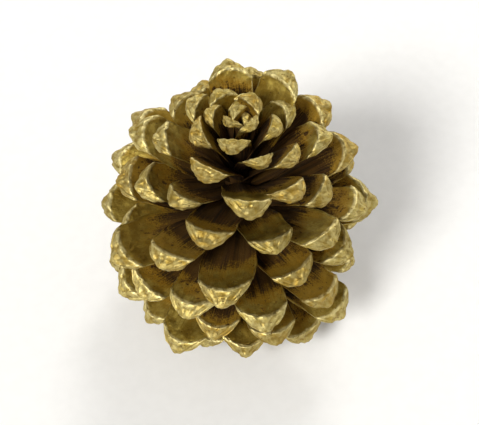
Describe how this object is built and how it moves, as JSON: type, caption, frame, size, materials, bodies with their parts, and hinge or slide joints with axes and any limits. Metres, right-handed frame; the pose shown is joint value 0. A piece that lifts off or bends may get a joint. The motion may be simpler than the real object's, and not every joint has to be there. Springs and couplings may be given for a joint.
{
  "type": "pine cone",
  "caption": "Open pine cone painted antique gold, standing on its base, with thick keeled scale tips in spirals round a woody axis.",
  "frame": {"origin": "centre of the stalk's flat round end, on the surface that the cone stands on", "axes": "+Z along the cone's axis, from the stalk to the tip"},
  "size_m": [0.0644, 0.0626, 0.0667],
  "materials": {
    "gold_paint": "gold spray paint over brown wood, satin and worn thin in the hollows"
  },
  "bodies": {
    "root": {"pine_cone": "gold_paint"}
  },
  "joints": []
}
